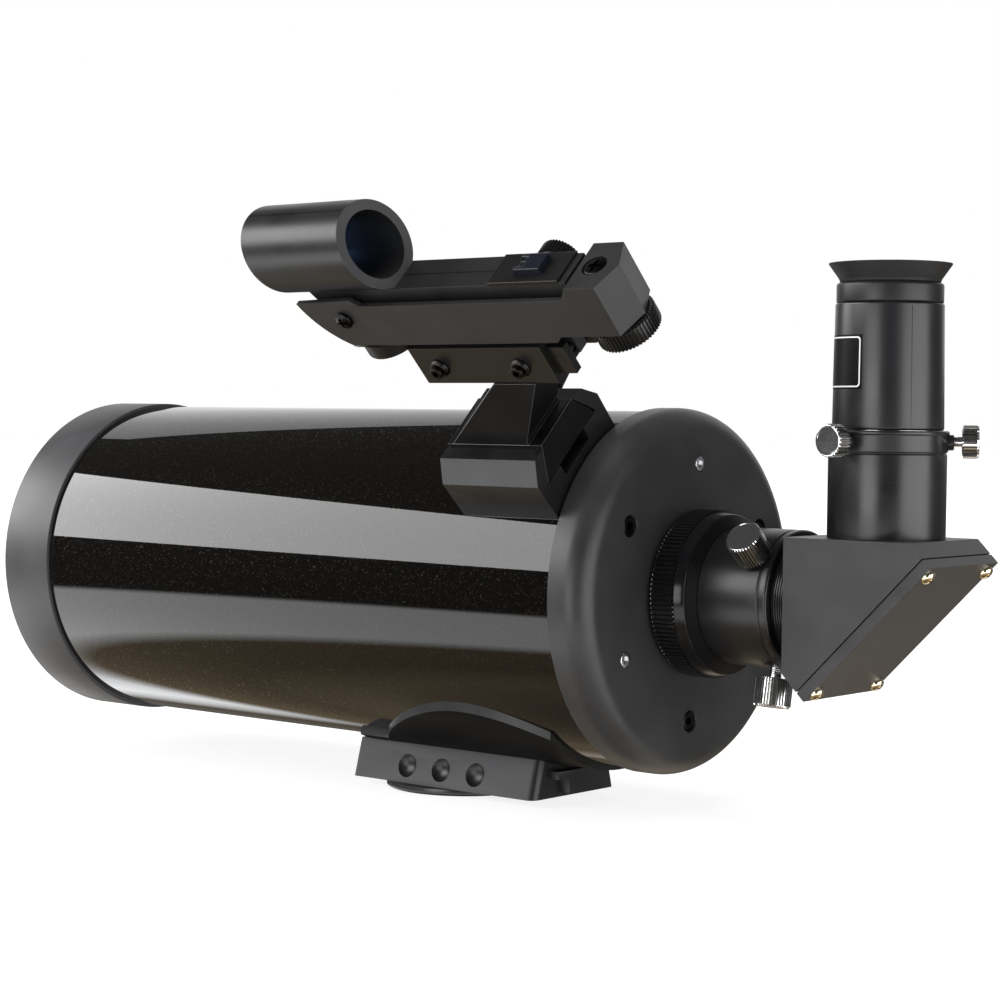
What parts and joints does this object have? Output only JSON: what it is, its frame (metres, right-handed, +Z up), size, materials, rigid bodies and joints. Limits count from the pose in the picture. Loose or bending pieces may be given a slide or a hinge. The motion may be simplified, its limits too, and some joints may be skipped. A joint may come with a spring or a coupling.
{
  "type": "maksutov telescope",
  "caption": "Short-tube Maksutov-Cassegrain telescope with moving-mirror focus, 90 degree star diagonal, eyepiece, red-dot finder and dovetail bar.",
  "frame": {"origin": "mouth of the tripod thread, in the centre of the round boss under the dovetail bar", "axes": "+Y along the optical axis towards the objective, +X to the observer's right, +Z up"},
  "size_m": [0.1755, 0.3652, 0.1888],
  "materials": {
    "tube_paint": "high-gloss black lacquer with fine metal flake",
    "cell_black": "fine-textured satin black paint",
    "ring_grey": "matte dark grey paint",
    "anodised_black": "satin black anodised",
    "glass": "multi-coated, polished",
    "mirror_coat": "polished aluminised",
    "raw_aluminium": "machined",
    "brass": "machined",
    "gold_nickel": "polished, pale gold plate",
    "black_steel": "black oxide",
    "bright_steel": "zinc plated",
    "chrome": "polished, straight knurl",
    "rubber": "matte",
    "black_plastic": "satin moulded",
    "dark_window": "smoked, glossy",
    "clear_plastic": "clear film"
  },
  "bodies": {
    "optical_tube": {"main_tube": "tube_paint", "front_cell": "ring_grey", "corrector_lens": "glass", "corrector_retaining_ring": "anodised_black", "secondary_mirror": "mirror_coat", "secondary_baffle": "anodised_black", "rear_cell": "cell_black", "collimation_plate": "raw_aluminium", "collimation_screws": "black_steel", "lock_screws": "bright_steel", "primary_baffle_tube": "anodised_black", "focus_bushing": "anodised_black", "visual_back_ring": "cell_black", "visual_back_barrel": "cell_black", "dovetail_bar": "cell_black", "dovetail_saddle": "cell_black", "dovetail_screws": "black_steel", "tripod_boss": "anodised_black", "finder_shoe": "cell_black", "shoe_screws": "black_steel"},
    "primary": {"primary_mirror": "mirror_coat", "mirror_carrier": "raw_aluminium", "mirror_retaining_ring": "raw_aluminium", "focus_nut": "brass"},
    "focus_control": {"focus_shaft": "bright_steel", "focus_knob": "rubber"},
    "visual_back_screw_a": {"visual_back_thumbscrew_a": "chrome"},
    "visual_back_screw_b": {"visual_back_thumbscrew_b": "chrome"},
    "diagonal": {"diagonal_nosepiece": "anodised_black", "diagonal_housing": "cell_black", "diagonal_cover": "cell_black", "cover_screws": "gold_nickel", "diagonal_mirror": "mirror_coat", "eyepiece_holder": "cell_black"},
    "diagonal_screw_a": {"diagonal_thumbscrew_a": "chrome"},
    "diagonal_screw_b": {"diagonal_thumbscrew_b": "chrome"},
    "eyepiece": {"eyepiece_barrel": "chrome", "eyepiece_body": "anodised_black", "eyepiece_top_ring": "anodised_black", "eyecup": "rubber", "eye_lens": "glass", "field_lens": "glass", "field_stop": "anodised_black"},
    "finder_base": {"finder_foot": "black_plastic", "finder_bracket": "black_plastic", "finder_slide": "black_plastic", "bracket_screws": "black_steel"},
    "shoe_screw": {"shoe_thumbscrew": "black_plastic"},
    "azimuth_control": {"azimuth_knob": "black_plastic"},
    "finder_body": {"finder_channel": "black_plastic", "pivot_screw": "black_steel"},
    "sight": {"sight_body": "black_plastic", "reflex_lens": "glass", "led_housing": "dark_window"},
    "altitude_control": {"altitude_knob": "black_plastic", "altitude_screw": "black_steel"},
    "brightness_control": {"brightness_knob": "black_plastic"},
    "battery_door": {"battery_cover": "black_plastic", "battery": "bright_steel", "battery_tab": "clear_plastic"}
  },
  "joints": [
    {"name": "focus_turn", "type": "hinge", "parent": "optical_tube", "child": "focus_control", "pos_m": [0.0455, -0.102, 0.0773], "axis": [0, 1, 0], "range_deg": [-842, 842]},
    {"name": "focus_slide", "type": "slide", "parent": "optical_tube", "child": "primary", "axis": [0, 1, 0], "range_m": [-0.0035, 0.0035]},
    {"name": "diagonal_turn", "type": "hinge", "parent": "optical_tube", "child": "diagonal", "pos_m": [0, -0.127, 0.0713], "axis": [0, 1, 0], "continuous": true},
    {"name": "visual_back_screw_a_turn", "type": "hinge", "parent": "optical_tube", "child": "visual_back_screw_a", "pos_m": [0, -0.1288, 0.0713], "axis": [-0.7604, 0, 0.6494], "range_deg": [0, 720]},
    {"name": "visual_back_screw_b_turn", "type": "hinge", "parent": "optical_tube", "child": "visual_back_screw_b", "pos_m": [0, -0.1288, 0.0713], "axis": [-0.1822, 0, -0.9833], "range_deg": [0, 720]},
    {"name": "diagonal_screw_a_turn", "type": "hinge", "parent": "diagonal", "child": "diagonal_screw_a", "pos_m": [0, -0.164, 0.1201], "axis": [-0.9848, 0.1736, 0], "range_deg": [0, 720]},
    {"name": "diagonal_screw_b_turn", "type": "hinge", "parent": "diagonal", "child": "diagonal_screw_b", "pos_m": [0, -0.164, 0.1201], "axis": [0.5, -0.866, 0], "range_deg": [0, 720]},
    {"name": "eyepiece_lift", "type": "slide", "parent": "diagonal", "child": "eyepiece", "axis": [0, 0, 1], "range_m": [0, 0.035]},
    {"name": "finder_slide_off", "type": "slide", "parent": "optical_tube", "child": "finder_base", "axis": [0, 1, 0], "range_m": [0, 0.042]},
    {"name": "shoe_screw_turn", "type": "hinge", "parent": "optical_tube", "child": "shoe_screw", "pos_m": [-0.03684, -0.0627, 0.13275], "axis": [0.6011, 0, 0.7992], "range_deg": [0, 720]},
    {"name": "azimuth_knob_turn", "type": "hinge", "parent": "finder_base", "child": "azimuth_control", "pos_m": [-0.07637, -0.1054, 0.14767], "axis": [0.7071, 0, 0.7071], "range_deg": [-858, 858]},
    {"name": "azimuth_swing", "type": "hinge", "parent": "finder_base", "child": "finder_body", "pos_m": [-0.0799, -0.06, 0.1512], "axis": [-0.7071, 0, 0.7071], "range_deg": [-1.5, 1.5]},
    {"name": "altitude_knob_turn", "type": "hinge", "parent": "finder_body", "child": "altitude_control", "pos_m": [-0.0898, -0.128, 0.1611], "axis": [-0.7071, 0, 0.7071], "range_deg": [-841, 841]},
    {"name": "altitude_tilt", "type": "hinge", "parent": "finder_body", "child": "sight", "pos_m": [-0.0898, -0.0345, 0.1611], "axis": [0.7071, 0, 0.7071], "range_deg": [-1, 1]},
    {"name": "brightness_turn", "type": "hinge", "parent": "finder_body", "child": "brightness_control", "pos_m": [-0.09008, -0.104, 0.16139], "axis": [0.7071, 0, 0.7071], "range_deg": [0, 270]},
    {"name": "battery_door_slide", "type": "slide", "parent": "finder_body", "child": "battery_door", "axis": [0.7071, 0, -0.7071], "range_m": [0, 0.01]}
  ],
  "couplings": [
    {"joint": "focus_turn", "follows": "focus_slide", "rad_per_m": 4188.8},
    {"joint": "azimuth_knob_turn", "follows": "azimuth_swing", "ratio": 570.51},
    {"joint": "altitude_knob_turn", "follows": "altitude_tilt", "ratio": 839.25}
  ]
}
